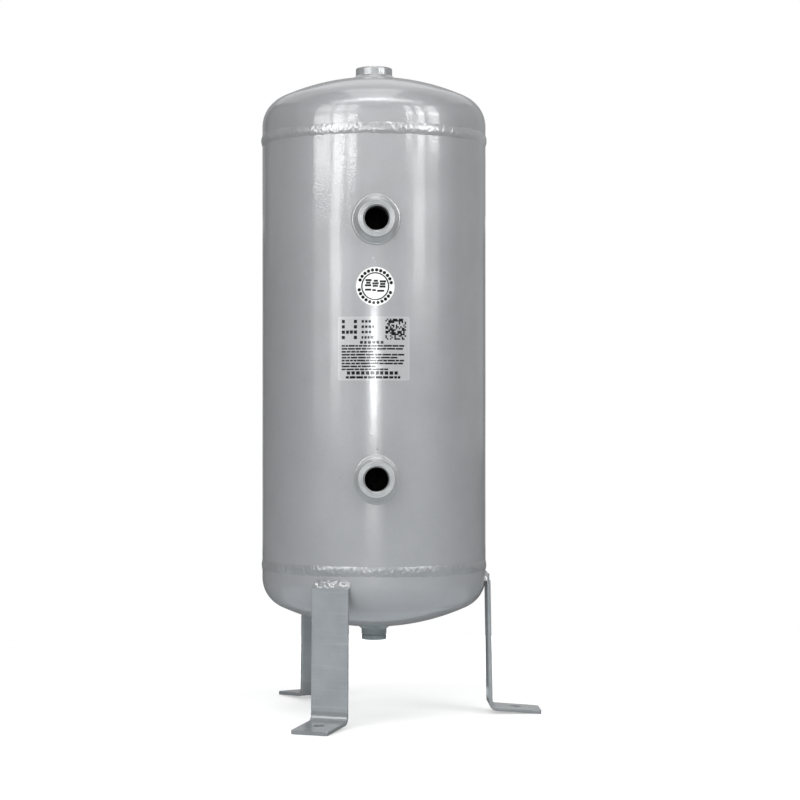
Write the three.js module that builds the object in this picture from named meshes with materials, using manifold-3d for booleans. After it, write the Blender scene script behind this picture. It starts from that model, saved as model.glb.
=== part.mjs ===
// A small vertical receiver for compressed air: a rolled shell with one lengthwise seam, two dished
// heads, two girth welds over backing rings, four threaded sockets, three legs bent from flat bar,
// and two labels. Units are millimetres, +Z is up, the floor is at z = 0.
//
// Every piece is made about the tank's own axis. The front, where the side ports face, is -Y. An
// azimuth is counted from the front towards +X. The finished group is moved once, at the end, so
// that the origin is the centre of the floor space that the tank takes up.

import * as THREE from 'three';
import { mergeVertices } from 'three/addons/utils/BufferGeometryUtils.js';
import Module from 'manifold-3d';

const wasm = await Module();
wasm.setup();

// ---------------------------------------------------------------------------------------------
// Driving dimensions
// ---------------------------------------------------------------------------------------------

const GAP = 0.3; // clearance between pieces that touch on the real tank
const SIDES = 60; // facets around the shell, the heads and everything that follows them
const PORT_SIDES = 40; // facets around a socket
const ARC_STEPS = 4; // chords along a curved stretch of a profile

const SHELL_RADIUS = 150; // outside
const WALL = 4;
const LOWER_JOINT_Z = 200; // the plane where the bottom head meets the shell
const UPPER_JOINT_Z = 768;

const HEAD_FLANGE = 18; // straight stretch between the joint and the knuckle
const HEAD_KNUCKLE_RADIUS = 42; // outside
const HEAD_CROWN_RADIUS = 300; // outside

const ROOT_GAP = 1.4; // opening at the bottom of a welding groove
const GROOVE_HALF_WIDTH = 3; // half the opening of the groove at the outer surface
const GIRTH_BEAD_WIDTH = 17;
const GIRTH_BEAD_CROWN = 2.2; // how far the bead stands proud
const SEAM_AZIMUTH = 96;
const SEAM_BEAD_WIDTH = 10;
const SEAM_BEAD_CROWN = 1.6;

const BACKING_RING_HEIGHT = 30;
const BACKING_RING_THICKNESS = 3;

// A G1 socket, used on the top and on the side, and a G3/4 socket for the drain. `mouth` is the
// countersink's radius, `edge` the chamfer on the outer rim, and `reach` is how far the socket
// passes below the surface that it is set in.
const G1 = { radius: 24.5, bore: 15.15, mouth: 17.2, edge: 1.6, reach: 12 };
const G34 = { radius: 16.75, bore: 12.06, mouth: 13.6, edge: 0.8, reach: 10 };
const MOUTH_DEPTH = 2; // length of the countersink in front of the thread

const SIDE_PORT_INSET = 118; // from a girth joint to the nearest side port
const SIDE_PORT_STAND = 19; // how far the rim stands off the shell
const TOP_PORT_STAND = 14.3; // above the head's crown
const DRAIN_STAND = 18; // below the head's crown

// A socket's fillet weld: its legs along the surface and along the socket.
const UPPER_FILLET = { width: 8.5, height: 8 };
const LOWER_FILLET = { width: 6.5, height: 7 };
const TOP_FILLET = { width: 7.5, height: 5 };
const DRAIN_FILLET = { width: 5.6, height: 4.5 };

const LEG_AZIMUTHS = { leg_front_left: -22.5, leg_right: 90, leg_back_left: -150 };
const BAR_WIDTH = 50;
const BAR_THICKNESS = 5;
const BAR_EDGE = 0.6; // rolled edge of the flat bar
const LEG_TOP_Z = 178;
const LEG_SPLAY = 1; // degrees that the upright leans outwards
const FOOT_DROOP = 4.2; // degrees that the foot falls away below level
const BEND_RADIUS = 7; // on the inside of the bend
const FOOT_STRAIGHT = 59; // flat stretch from the bend to the toe
const FOOT_HOLE_RADIUS = 7;
const FOOT_HOLE_FROM_TOE = 33;
const LEG_WELD = { height: 10, lip: 1.5, crown: 0.9 }; // its slope starts `lip` above the bar

const LABEL_THICKNESS = 0.4;
const INSPECTION_LABEL = { radius: 25, z: 564.5, azimuth: -0.5 };
const DATA_LABEL = { width: 92, height: 82, corner: 2.5, z: 485, azimuth: -1.3 };

// ---------------------------------------------------------------------------------------------
// Values worked out from them
// ---------------------------------------------------------------------------------------------

const BORE_RADIUS = SHELL_RADIUS - WALL; // inside of the shell
const KNUCKLE_CENTRE_R = SHELL_RADIUS - HEAD_KNUCKLE_RADIUS;
const CROWN_DROP = Math.sqrt((HEAD_CROWN_RADIUS - HEAD_KNUCKLE_RADIUS) ** 2 - KNUCKLE_CENTRE_R ** 2);
const CROWN_CENTRE = HEAD_FLANGE - CROWN_DROP; // on the axis, measured from the joint
const HEAD_HEIGHT = CROWN_CENTRE + HEAD_CROWN_RADIUS;
const KNUCKLE_END = Math.atan2(CROWN_DROP, KNUCKLE_CENTRE_R);
const TOP_Z = UPPER_JOINT_Z + HEAD_HEIGHT;
const BOTTOM_Z = LOWER_JOINT_Z - HEAD_HEIGHT;
const SIDE_PORT_Z = {
  upper: UPPER_JOINT_Z - SIDE_PORT_INSET,
  lower: LOWER_JOINT_Z + SIDE_PORT_INSET,
};

const radians = THREE.MathUtils.degToRad;

// ---------------------------------------------------------------------------------------------
// Tools
// ---------------------------------------------------------------------------------------------

// A manifold-3d solid of a closed three.js geometry.
function solid(geometry) {
  const bare = geometry.clone();
  bare.deleteAttribute('normal');
  bare.deleteAttribute('uv');
  const merged = mergeVertices(bare, 1e-3);
  return new wasm.Manifold(new wasm.Mesh({
    numProp: 3,
    vertProperties: merged.attributes.position.array,
    triVerts: new Uint32Array(merged.index.array),
  }));
}

// A three.js geometry of a manifold-3d solid, flat shaded.
function geometryOf(body) {
  const { vertProperties, triVerts } = body.getMesh();
  const indexed = new THREE.BufferGeometry();
  indexed.setAttribute('position', new THREE.BufferAttribute(vertProperties, 3));
  indexed.setIndex(new THREE.BufferAttribute(triVerts, 1));
  const geometry = indexed.toNonIndexed();
  geometry.computeVertexNormals();
  return geometry;
}

// Turns a closed [r, z] outline, listed counter-clockwise, about the Z axis.
function revolve(outline, sides = SIDES) {
  const points = outline.map(([r, z]) => new THREE.Vector2(r, z));
  points.push(points[0].clone());
  return new THREE.LatheGeometry(points, sides).rotateX(Math.PI / 2);
}

// Points on an arc in the (r, z) plane, from one angle to another, both ends included.
function arc(centreR, centreZ, radius, from, to, steps = ARC_STEPS) {
  return Array.from({ length: steps + 1 }, (_, i) => {
    const angle = from + ((to - from) * i) / steps;
    return [centreR + radius * Math.cos(angle), centreZ + radius * Math.sin(angle)];
  });
}

// Points on the low arc that bulges by `crown` over a straight base from one [x, y] to another.
function bulge(from, to, crown, steps = ARC_STEPS) {
  const half = Math.hypot(to[0] - from[0], to[1] - from[1]) / 2;
  const radius = (half ** 2 + crown ** 2) / (2 * crown);
  const spread = Math.asin(half / radius);
  const along = [(to[0] - from[0]) / (2 * half), (to[1] - from[1]) / (2 * half)];
  const middle = [(from[0] + to[0]) / 2, (from[1] + to[1]) / 2];
  return Array.from({ length: steps + 1 }, (_, i) => {
    const angle = spread * ((2 * i) / steps - 1);
    const run = radius * Math.sin(angle);
    const rise = radius * Math.cos(angle) - radius + crown;
    return [
      middle[0] + along[0] * run + along[1] * rise,
      middle[1] + along[1] * run - along[0] * rise,
    ];
  });
}

// A flat outline in the XY plane, drawn out along Z from `bottom` to `top`.
function prism(outline, bottom, top) {
  const shape = new THREE.Shape(outline.map(([x, y]) => new THREE.Vector2(x, y)));
  const depth = top - bottom;
  return new THREE.ExtrudeGeometry(shape, { depth, bevelEnabled: false }).translate(0, 0, bottom);
}

// A round bar along the front axis (-Y), from `near` to `far` millimetres from the tank's axis.
function frontBar(radius, near, far, z) {
  return new THREE.CylinderGeometry(radius, radius, far - near, PORT_SIDES)
    .translate(0, -(near + far) / 2, z);
}

// The solid cylinder inside a faceted round of this radius. Its corners line up with the shell's.
function core(radius, bottom = 0, top = TOP_Z) {
  return solid(revolve([[0, bottom], [radius, bottom], [radius, top], [0, top]]));
}

const PAINT = { color: 0xa9acad, roughness: 0.28, metalness: 0.55 };
const MACHINED = { color: 0xb4b7b8, roughness: 0.3, metalness: 0.7 };
const WELD = { color: 0xa2a5a6, roughness: 0.35, metalness: 0.6 };
const BARE_STEEL = { color: 0x5b5a57, roughness: 0.6, metalness: 0.85 };
const STICKER = { color: 0xf1f1ee, roughness: 0.35, metalness: 0 };
const FILM = { color: 0xb9bcbd, roughness: 0.3, metalness: 0.25 };

const tank = new THREE.Group();

function place(name, geometry, finish) {
  const mesh = new THREE.Mesh(geometry, new THREE.MeshStandardMaterial(finish));
  mesh.name = name;
  tank.add(mesh);
  return mesh;
}

// ---------------------------------------------------------------------------------------------
// Shell, heads and the welds between them
// ---------------------------------------------------------------------------------------------

// Half of a welding groove: where the plate's edge lies at its outer and at its inner surface.
const EDGE_OUTSIDE = GROOVE_HALF_WIDTH + GAP;
const EDGE_INSIDE = ROOT_GAP / 2 + GAP;

// The groove left for the lengthwise seam, as an outline in the XY plane with the front at -Y. The
// outline is a little longer than the wall so that it cuts right through.
function seamGroove() {
  const slope = (EDGE_OUTSIDE - EDGE_INSIDE) / WALL;
  const past = 1;
  const outside = EDGE_OUTSIDE + slope * past;
  const inside = EDGE_INSIDE - slope * past;
  return [
    [-outside, -SHELL_RADIUS - past],
    [outside, -SHELL_RADIUS - past],
    [inside, -BORE_RADIUS + past],
    [-inside, -BORE_RADIUS + past],
  ];
}

// The rolled plate: bevelled at both ends, open along the seam, with two holes for the side ports.
function shellGeometry() {
  let body = solid(revolve([
    [BORE_RADIUS, LOWER_JOINT_Z + EDGE_INSIDE],
    [SHELL_RADIUS, LOWER_JOINT_Z + EDGE_OUTSIDE],
    [SHELL_RADIUS, UPPER_JOINT_Z - EDGE_OUTSIDE],
    [BORE_RADIUS, UPPER_JOINT_Z - EDGE_INSIDE],
  ]));
  const groove = prism(seamGroove(), LOWER_JOINT_Z, UPPER_JOINT_Z).rotateZ(radians(SEAM_AZIMUTH));
  body = body.subtract(solid(groove));
  for (const z of Object.values(SIDE_PORT_Z)) {
    body = body.subtract(solid(frontBar(G1.radius + GAP, SHELL_RADIUS / 2, SHELL_RADIUS * 2, z)));
  }
  return geometryOf(body);
}

// A dished head with its joint at z = 0 and its crown up, and a hole on the axis for a socket.
function headGeometry(holeRadius) {
  const outerStart = Math.acos(holeRadius / HEAD_CROWN_RADIUS);
  const innerStart = Math.acos(holeRadius / (HEAD_CROWN_RADIUS - WALL));
  const knuckle = (radius) => arc(KNUCKLE_CENTRE_R, HEAD_FLANGE, radius, 0, KNUCKLE_END);
  const crown = (radius, end) => arc(0, CROWN_CENTRE, radius, KNUCKLE_END, end).slice(1);
  const outside = [
    [SHELL_RADIUS, EDGE_OUTSIDE],
    ...knuckle(HEAD_KNUCKLE_RADIUS),
    ...crown(HEAD_CROWN_RADIUS, outerStart),
  ];
  const inside = [
    [BORE_RADIUS, EDGE_INSIDE],
    ...knuckle(HEAD_KNUCKLE_RADIUS - WALL),
    ...crown(HEAD_CROWN_RADIUS - WALL, innerStart),
  ];
  return revolve([...outside, ...inside.reverse()]);
}

// A girth weld with its joint plane at z = 0: the filled groove and the cap that stands proud.
function girthWeldGeometry() {
  const foot = SHELL_RADIUS + GAP;
  const half = GIRTH_BEAD_WIDTH / 2;
  return revolve([
    [BORE_RADIUS, -ROOT_GAP / 2],
    [foot, -GROOVE_HALF_WIDTH],
    ...bulge([foot, -half], [foot, half], GIRTH_BEAD_CROWN),
    [foot, GROOVE_HALF_WIDTH],
    [BORE_RADIUS, ROOT_GAP / 2],
  ]);
}

// The lengthwise weld, made at the front and turned to its place. The filled groove runs the length
// of the shell, just below its surface, and the cap stops short of the girth beads. A neck joins
// the two.
function seamWeldGeometry() {
  const foot = SHELL_RADIUS + GAP;
  const sunk = SHELL_RADIUS - GAP;
  const half = SEAM_BEAD_WIDTH / 2;
  const end = GIRTH_BEAD_WIDTH / 2 + GAP;
  const root = prism([
    [-GROOVE_HALF_WIDTH, -sunk],
    [GROOVE_HALF_WIDTH, -sunk],
    [ROOT_GAP / 2, -BORE_RADIUS],
    [-ROOT_GAP / 2, -BORE_RADIUS],
  ], LOWER_JOINT_Z + EDGE_OUTSIDE, UPPER_JOINT_Z - EDGE_OUTSIDE);
  const cap = prism([
    ...bulge([-half, -foot], [half, -foot], SEAM_BEAD_CROWN),
    [ROOT_GAP, -foot],
    [ROOT_GAP, -sunk + GAP],
    [-ROOT_GAP, -sunk + GAP],
    [-ROOT_GAP, -foot],
  ], LOWER_JOINT_Z + end, UPPER_JOINT_Z - end);
  return geometryOf(solid(root).add(solid(cap)));
}

// A flat strip behind a girth joint, with the joint plane at z = 0.
function backingRingGeometry() {
  const outside = BORE_RADIUS - GAP;
  const inside = outside - BACKING_RING_THICKNESS;
  const half = BACKING_RING_HEIGHT / 2;
  return revolve([[inside, -half], [outside, -half], [outside, half], [inside, half]]);
}

function addVessel() {
  place('shell', shellGeometry(), PAINT);
  place('seam_weld', seamWeldGeometry(), WELD).rotation.z = radians(SEAM_AZIMUTH);

  place('top_head', headGeometry(G1.radius + GAP), PAINT).position.z = UPPER_JOINT_Z;
  const bottomHead = place('bottom_head', headGeometry(G34.radius + GAP), PAINT);
  bottomHead.position.z = LOWER_JOINT_Z;
  bottomHead.rotation.x = Math.PI;

  for (const [end, z] of [['top', UPPER_JOINT_Z], ['bottom', LOWER_JOINT_Z]]) {
    place(`${end}_girth_weld`, girthWeldGeometry(), WELD).position.z = z;
    place(`${end}_backing_ring`, backingRingGeometry(), BARE_STEEL).position.z = z;
  }
}

// ---------------------------------------------------------------------------------------------
// Sockets and their fillet welds
// ---------------------------------------------------------------------------------------------

// A socket on the Z axis whose wall is met at z = 0. Its rim is `stand` above that.
function socketGeometry(size, stand) {
  return revolve([
    [size.bore, -size.reach],
    [size.radius, -size.reach],
    [size.radius, stand - size.edge],
    [size.radius - size.edge, stand],
    [size.mouth, stand],
    [size.bore, stand - MOUTH_DEPTH],
  ], PORT_SIDES);
}

// A ring of weld round a socket, reaching `depth` below z = 0 so that the wall can be cut from it.
function filletRing(size, fillet, depth) {
  const inside = size.radius + GAP;
  const outside = inside + fillet.width;
  return revolve([
    [inside, -depth],
    [outside, -depth],
    ...bulge([outside, GAP * 2], [inside, fillet.height], fillet.height / 8),
  ], PORT_SIDES);
}

// The middle of a head's crown as a solid cap, with its top at z = 0.
function crownCap() {
  const start = Math.acos((G1.radius * 3) / HEAD_CROWN_RADIUS);
  const top = arc(0, -HEAD_CROWN_RADIUS, HEAD_CROWN_RADIUS + GAP, start, Math.PI / 2);
  return revolve([[0, top[0][1]], ...top], PORT_SIDES);
}

function addAxialPort(name, size, stand, fillet, z, up) {
  const socket = place(`${name}_socket`, socketGeometry(size, stand), MACHINED);
  const ring = solid(filletRing(size, fillet, WALL)).subtract(solid(crownCap()));
  const weld = place(`${name}_weld`, geometryOf(ring), WELD);
  for (const mesh of [socket, weld]) {
    mesh.position.z = z;
    mesh.rotation.x = up ? 0 : Math.PI;
  }
}

function addSidePort(name, fillet, z) {
  const turn = Math.PI / 2; // carries +Z to the front, -Y
  const socket = place(`${name}_socket`, socketGeometry(G1, SIDE_PORT_STAND), MACHINED);
  socket.position.set(0, -SHELL_RADIUS, z);
  socket.rotation.x = turn;

  const ring = filletRing(G1, fillet, SHELL_RADIUS / 2).rotateX(turn).translate(0, -SHELL_RADIUS, z);
  place(`${name}_weld`, geometryOf(solid(ring).subtract(core(SHELL_RADIUS + GAP))), WELD);
}

function addPorts() {
  addAxialPort('top_port', G1, TOP_PORT_STAND, TOP_FILLET, TOP_Z, true);
  addAxialPort('drain_port', G34, DRAIN_STAND, DRAIN_FILLET, BOTTOM_Z, false);
  addSidePort('upper_port', UPPER_FILLET, SIDE_PORT_Z.upper);
  addSidePort('lower_port', LOWER_FILLET, SIDE_PORT_Z.lower);
}

// ---------------------------------------------------------------------------------------------
// Legs
// ---------------------------------------------------------------------------------------------

// The leg's side view with x outwards from the tank's axis and y up. The bar comes down the shell,
// turns round the bend and ends in a foot whose toe touches the floor.
function legSideView() {
  const splay = radians(LEG_SPLAY);
  const droop = radians(FOOT_DROOP);
  const outerBend = BEND_RADIUS + BAR_THICKNESS;
  const upright = new THREE.Vector2(Math.sin(splay), -Math.cos(splay)); // down the bar
  const foot = new THREE.Vector2(Math.cos(droop), -Math.sin(droop)); // along the foot
  const footUp = new THREE.Vector2(Math.sin(droop), Math.cos(droop));
  const inward = new THREE.Vector2(-Math.cos(splay), -Math.sin(splay));

  const bendY = outerBend * footUp.y - FOOT_STRAIGHT * foot.y;
  const rise = (LEG_TOP_Z - bendY - outerBend * inward.y) / -upright.y;
  const bendX = SHELL_RADIUS + GAP - outerBend * inward.x + rise * upright.x;
  const bend = new THREE.Vector2(bendX, bendY);

  const topInside = bend.clone().addScaledVector(inward, outerBend).addScaledVector(upright, -rise);
  const topOutside = bend.clone().addScaledVector(inward, BEND_RADIUS);
  topOutside.addScaledVector(upright, -rise - BAR_THICKNESS * Math.tan(splay));
  const toeBelow = bend.clone().addScaledVector(footUp, -outerBend).addScaledVector(foot, FOOT_STRAIGHT);
  const toeAbove = toeBelow.clone().addScaledVector(footUp, BAR_THICKNESS);

  const shape = new THREE.Shape();
  shape.moveTo(topInside.x, topInside.y);
  shape.absarc(bend.x, bend.y, outerBend, Math.PI + splay, 1.5 * Math.PI - droop, false);
  shape.lineTo(toeBelow.x, toeBelow.y);
  shape.lineTo(toeAbove.x, toeAbove.y);
  shape.absarc(bend.x, bend.y, BEND_RADIUS, 1.5 * Math.PI - droop, Math.PI + splay, true);
  shape.lineTo(topOutside.x, topOutside.y);
  shape.closePath();

  const holeBelow = toeBelow.clone().addScaledVector(foot, -FOOT_HOLE_FROM_TOE);
  return { shape, holeBelow, droop };
}

// One leg, standing out along +X.
function legGeometry() {
  const { shape, holeBelow, droop } = legSideView();
  const flat = BAR_WIDTH - BAR_EDGE * 2;
  const bar = new THREE.ExtrudeGeometry(shape, {
    depth: flat,
    curveSegments: ARC_STEPS,
    bevelThickness: BAR_EDGE,
    bevelSize: BAR_EDGE,
    bevelOffset: -BAR_EDGE,
    bevelSegments: 1,
  }).translate(0, 0, -flat / 2).rotateX(Math.PI / 2);
  const drill = new THREE.CylinderGeometry(FOOT_HOLE_RADIUS, FOOT_HOLE_RADIUS, BAR_WIDTH, PORT_SIDES / 2)
    .rotateX(Math.PI / 2)
    .rotateY(droop)
    .translate(holeBelow.x, 0, holeBelow.y);
  return geometryOf(solid(bar).subtract(solid(drill)));
}

// The bead across a leg's top, standing out along +X: a slope from the bar's outer face to the shell.
function legWeldGeometry() {
  const foot = LEG_TOP_Z + GAP;
  const outside = SHELL_RADIUS + GAP + BAR_THICKNESS;
  const outline = [
    [SHELL_RADIUS - WALL, foot],
    [outside, foot],
    ...bulge([outside, foot + LEG_WELD.lip], [SHELL_RADIUS, foot + LEG_WELD.height], LEG_WELD.crown),
    [SHELL_RADIUS - WALL, foot + LEG_WELD.height],
  ];
  const bead = prism(outline, -BAR_WIDTH / 2, BAR_WIDTH / 2).rotateX(Math.PI / 2);
  return geometryOf(solid(bead).subtract(core(SHELL_RADIUS + GAP)));
}

function addLegs() {
  for (const [name, azimuth] of Object.entries(LEG_AZIMUTHS)) {
    const leg = place(name, legGeometry(), PAINT);
    const weld = place(`${name}_weld`, legWeldGeometry(), WELD);
    for (const mesh of [leg, weld]) mesh.rotation.z = radians(azimuth - 90);
  }
}

// ---------------------------------------------------------------------------------------------
// Labels
// ---------------------------------------------------------------------------------------------

// The stretch of a thin skin round the shell that lies inside a block drawn in front of the tank and
// then turned to the azimuth.
function labelGeometry(block, azimuth) {
  const inside = SHELL_RADIUS + GAP;
  const skin = core(inside + LABEL_THICKNESS).subtract(core(inside));
  return geometryOf(skin.intersect(solid(block.rotateZ(radians(azimuth)))));
}

function roundedRectangle(width, height, corner) {
  const shape = new THREE.Shape();
  const x = width / 2 - corner;
  const y = height / 2 - corner;
  shape.absarc(x, y, corner, 0, Math.PI / 2, false);
  shape.absarc(-x, y, corner, Math.PI / 2, Math.PI, false);
  shape.absarc(-x, -y, corner, Math.PI, 1.5 * Math.PI, false);
  shape.absarc(x, -y, corner, 1.5 * Math.PI, 2 * Math.PI, false);
  return shape;
}

function addLabels() {
  const disc = frontBar(INSPECTION_LABEL.radius, BORE_RADIUS / 2, SHELL_RADIUS * 1.5, INSPECTION_LABEL.z);
  place('inspection_label', labelGeometry(disc, INSPECTION_LABEL.azimuth), STICKER);

  const outline = roundedRectangle(DATA_LABEL.width, DATA_LABEL.height, DATA_LABEL.corner);
  const settings = { depth: SHELL_RADIUS, bevelEnabled: false, curveSegments: ARC_STEPS };
  const sheet = new THREE.ExtrudeGeometry(outline, settings)
    .rotateX(Math.PI / 2)
    .translate(0, -SHELL_RADIUS / 2, DATA_LABEL.z);
  place('data_label', labelGeometry(sheet, DATA_LABEL.azimuth), FILM);
}

// ---------------------------------------------------------------------------------------------
// Assembly
// ---------------------------------------------------------------------------------------------

addVessel();
addPorts();
addLegs();
addLabels();

// The three legs don't stand evenly about the axis, so the tank is moved until its box is centred.
const footprint = new THREE.Box3().setFromObject(tank, true).getCenter(new THREE.Vector3());
tank.position.set(-footprint.x, -footprint.y, 0);

const part = new THREE.Group();
part.add(tank);
export default part;
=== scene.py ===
"""Looks for the vertical air receiver: fine meshes, weld beads, paint, labels, lights and camera.

Pieces are drawn in millimetres about the tank's own axis, with the floor at z = 0 and the front,
where the side ports face, at -Y. `make_piece` moves them to their place in the frame, in metres. An
azimuth is counted in degrees from the front towards +X.
"""

import math
import random

import bpy
import numpy as np
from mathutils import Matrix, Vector, noise


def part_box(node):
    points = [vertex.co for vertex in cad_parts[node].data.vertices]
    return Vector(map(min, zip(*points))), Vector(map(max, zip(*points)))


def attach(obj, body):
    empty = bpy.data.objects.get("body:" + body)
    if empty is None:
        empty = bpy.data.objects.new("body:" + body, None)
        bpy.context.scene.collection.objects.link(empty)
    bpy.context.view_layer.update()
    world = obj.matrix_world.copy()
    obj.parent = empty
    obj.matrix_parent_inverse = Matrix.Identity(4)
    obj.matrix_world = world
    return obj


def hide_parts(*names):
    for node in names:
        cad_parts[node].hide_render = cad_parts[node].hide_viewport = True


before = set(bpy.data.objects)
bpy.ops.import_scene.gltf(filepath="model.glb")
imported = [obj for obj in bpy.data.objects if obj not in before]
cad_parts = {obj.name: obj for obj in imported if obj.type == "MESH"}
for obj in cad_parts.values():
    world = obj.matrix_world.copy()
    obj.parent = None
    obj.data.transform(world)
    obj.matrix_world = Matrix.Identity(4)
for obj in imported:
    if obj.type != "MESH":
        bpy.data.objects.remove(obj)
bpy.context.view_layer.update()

MM = 0.001
TAU = math.tau


# --- Sizes ---

head_low, head_high = (np.array(corner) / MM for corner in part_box("top_head"))
AXIS = (head_low + head_high) / 2 * (1, 1, 0)


def local_box(node):
    """A CAD node's lowest and highest corner, in millimetres about the tank's axis."""
    low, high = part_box(node)
    return np.array(low) / MM - AXIS, np.array(high) / MM - AXIS


def middle(node):
    low, high = local_box(node)
    return (low + high) / 2


RADIUS = local_box("top_head")[1][0]
WALL = 4.0
BORE = RADIUS - WALL
UPPER_JOINT = middle("top_girth_weld")[2]
LOWER_JOINT = middle("bottom_girth_weld")[2]
EDGE_OUTSIDE = 3.3  # from a joint's plane to a plate's bevelled edge, at its outer surface
EDGE_INSIDE = 1.0
ROOT_OUTSIDE = 3.0  # half the width of the weld metal between the plates
ROOT_INSIDE = 0.7

FLANGE = 18.0  # a head's straight stretch
KNUCKLE = 42.0
CROWN = 300.0
KNUCKLE_CENTRE = RADIUS - KNUCKLE
CROWN_CENTRE = FLANGE - math.sqrt((CROWN - KNUCKLE) ** 2 - KNUCKLE_CENTRE ** 2)
HEAD_HEIGHT = CROWN_CENTRE + CROWN
TOP = UPPER_JOINT + HEAD_HEIGHT
BOTTOM = LOWER_JOINT - HEAD_HEIGHT

PORT_Z = {"upper_port": middle("upper_port_socket")[2], "lower_port": middle("lower_port_socket")[2]}
SOCKET_PLAY = 0.3  # between a socket and the hole that it stands in
# `core` and `mouth` are radii too, `reach` is the depth under the wall, `tooth` the thread's depth.
G1 = dict(radius=24.5, core=15.15, mouth=17.2, edge=2.2, reach=12.0, pitch=2.309, tooth=1.3)
G34 = dict(radius=16.75, core=12.06, mouth=13.6, edge=1.6, reach=10.0, pitch=1.814, tooth=1.0)

LEGS = {"leg_front_left": -22.5, "leg_right": 90.0, "leg_back_left": -150.0}
BAR_WIDTH = local_box("leg_right")[1][1] - local_box("leg_right")[0][1]
BAR_THICKNESS = 5.0
BAR_EDGE = 0.7
LEG_TOP = local_box("leg_right")[1][2]
LEG_SPLAY = math.radians(1.0)
FOOT_DROOP = math.radians(4.2)
BEND_RADIUS = 7.0
FOOT_STRAIGHT = 59.0
FOOT_CORNER = 3.0
FOOT_HOLE = 7.0
FOOT_HOLE_FROM_TOE = 33.0
LEG_PLAY = 0.3

CAMERA_AZIMUTH = -1.1
CAMERA_DISTANCE = 2.89  # metres from the tank's axis
CAMERA_HEIGHT = 0.407
CAMERA_LENS = 96.6
CAMERA_SHIFT = (0.0325, 0.012)


# --- Mesh tools ---

def wobble(point, size, seed=0.0):
    """Smooth noise, about -1 to 1, whose features are `size` millimetres apart."""
    x, y, z = point
    return 1.6 * noise.noise(Vector((x / size + seed, y / size + seed * 0.7, z / size + seed * 1.3)))


def hump(distance, reach):
    """A smooth bump: 1 at its middle, and about a third at `reach` from it."""
    return math.exp(-((distance / reach) ** 2))


def turned(points, azimuth):
    """Turns points about the axis, so that what faced the front faces the azimuth."""
    angle = math.radians(azimuth)
    c, s = math.cos(angle), math.sin(angle)
    p = np.asarray(points, float)
    return np.stack([p[..., 0] * c - p[..., 1] * s, p[..., 0] * s + p[..., 1] * c, p[..., 2]], -1)


def grid_faces(rows, columns, close_rows=True):
    """Quads over a grid of vertices. Its columns close on themselves, and its rows may."""
    faces = []
    for i in range(rows if close_rows else rows - 1):
        for j in range(columns):
            here, there = i * columns, (i + 1) % rows * columns
            k = (j + 1) % columns
            faces.append((here + j, here + k, there + k, there + j))
    return faces


def end_faces(rows, columns):
    """The two faces that close a grid whose rows don't close."""
    last = (rows - 1) * columns
    return [tuple(reversed(range(columns))), tuple(range(last, last + columns))]


def make_mesh(name, points, faces):
    """A mesh in metres, facing outwards, of millimetre points about the tank's axis."""
    places = (np.asarray(points, float).reshape(-1, 3) + AXIS) * MM
    mesh = bpy.data.meshes.new(name)
    mesh.from_pydata(places.tolist(), [], faces)
    mesh.calc_loop_triangles()
    corners = places[np.array([t.vertices for t in mesh.loop_triangles])]
    volume = np.einsum("ij,ij->", corners[:, 0], np.cross(corners[:, 1], corners[:, 2]))
    if volume < 0:
        mesh.flip_normals()
    return mesh


def soften(mesh, sharp):
    mesh.shade_smooth()
    mesh.set_sharp_from_angle(angle=math.radians(sharp))


def make_piece(name, points, faces, material, slot, replaces=(), sharp=35.0, inner=None, dark=()):
    """A piece of the object, which rides on the CAD body. Faces in `dark` take the inner material,
    which here is the near-black inside steel: painted shade.
    """
    mesh = make_mesh(name, points, faces)
    mesh.materials.append(material)
    if inner:
        mesh.materials.append(inner)
    for index in dark:
        mesh.polygons[index].material_index = 1
    soften(mesh, sharp)
    piece = bpy.data.objects.new(name, mesh)
    bpy.context.scene.collection.objects.link(piece)
    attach(piece, "root")
    if replaces:
        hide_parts(*replaces)
    return piece


def lathe(profile, sides, move=None):
    """A closed [r, z] profile turned about the axis. `move` gives each point its own shift."""
    points = np.empty((sides, len(profile), 3))
    for i in range(sides):
        angle = TAU * i / sides
        for j, (r, z) in enumerate(profile):
            points[i, j] = (r * math.cos(angle), r * math.sin(angle), z)
            if move:
                points[i, j] += move(points[i, j])
    return points, grid_faces(sides, len(profile))


def band(faces, count, first, last):
    """Numbers of the faces that lie between two points of a lathe's profile of `count` points."""
    return [k for k in range(len(faces)) if first <= k % count < last]


def arc(centre, radius, start, end, steps):
    """Points [r, z] along an arc, both ends included."""
    angles = np.linspace(start, end, steps + 1)
    return [(centre[0] + radius * math.cos(a), centre[1] + radius * math.sin(a)) for a in angles]


def line(start, end, steps):
    """Points along a straight line, without its end."""
    return [tuple(np.add(start, np.subtract(end, start) * i / steps)) for i in range(steps)]


def rod(radius, start, end, sides=72):
    """A closed round bar between two points."""
    turn = (Vector(end) - Vector(start)).to_track_quat("Z", "Y")
    rim = [turn @ Vector((radius * math.cos(a), radius * math.sin(a), 0))
           for a in np.linspace(0, TAU, sides, endpoint=False)]
    points = [Vector(centre) + offset for centre in (start, end) for offset in rim]
    return points, grid_faces(2, sides, close_rows=False) + end_faces(2, sides)


def cut(piece, points, faces, sharp=35.0):
    """Takes a closed millimetre shape out of a piece."""
    cutter = bpy.data.objects.new("cutter", make_mesh("cutter", points, faces))
    bpy.context.scene.collection.objects.link(cutter)
    hole = piece.modifiers.new("hole", "BOOLEAN")
    hole.object = cutter
    hole.solver = "EXACT"
    bpy.context.view_layer.update()
    done = piece.evaluated_get(bpy.context.evaluated_depsgraph_get())
    piece.data = bpy.data.meshes.new_from_object(done)
    piece.modifiers.clear()
    bpy.data.objects.remove(cutter)
    soften(piece.data, sharp)


# --- Materials ---

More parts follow.
